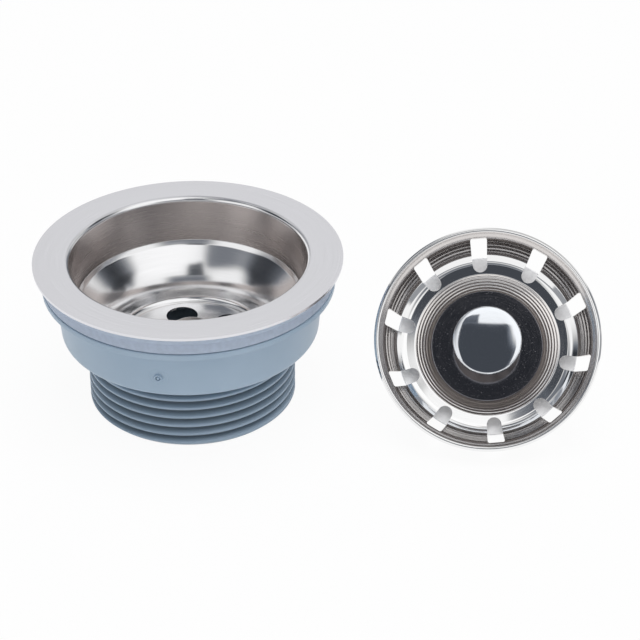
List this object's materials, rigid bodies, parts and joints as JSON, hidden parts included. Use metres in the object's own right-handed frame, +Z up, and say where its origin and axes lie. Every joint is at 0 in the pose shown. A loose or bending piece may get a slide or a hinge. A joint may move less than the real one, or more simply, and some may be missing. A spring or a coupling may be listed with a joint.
{
  "type": "basket strainer waste",
  "caption": "Kitchen sink basket strainer waste: pressed steel cup clamped to a threaded plastic outlet, with its lift-out slotted basket lying beside it.",
  "frame": {"origin": "on the waste's own axis, at the end of its outlet spigot, which is also the surface that it stands on", "axes": "+Z up along the waste's axis, from the spigot to the flange; +X from the waste towards the basket beside it; -Y towards the viewer"},
  "size_m": [0.1273, 0.07, 0.0416],
  "materials": {
    "cup_steel": "satin flange, polished bowl",
    "basket_steel": "mirror polished stainless steel",
    "screw_steel": "turned stainless steel",
    "nut_brass": "plain",
    "body_plastic": "satin blue-grey moulding",
    "washer_rubber": "smooth lilac grey",
    "seal_rubber": "smooth light grey",
    "ring_rubber": "smooth black"
  },
  "bodies": {
    "root": {"steel_cup": "cup_steel", "flange_gasket": "washer_rubber", "body_gasket": "washer_rubber", "waste_body": "body_plastic", "clamp_screw": "screw_steel", "hub_nut": "nut_brass", "basket_shell": "basket_steel", "lift_knob": "basket_steel", "seal_disc": "seal_rubber", "stem_pin": "screw_steel", "stem_o_ring": "ring_rubber"}
  },
  "joints": []
}
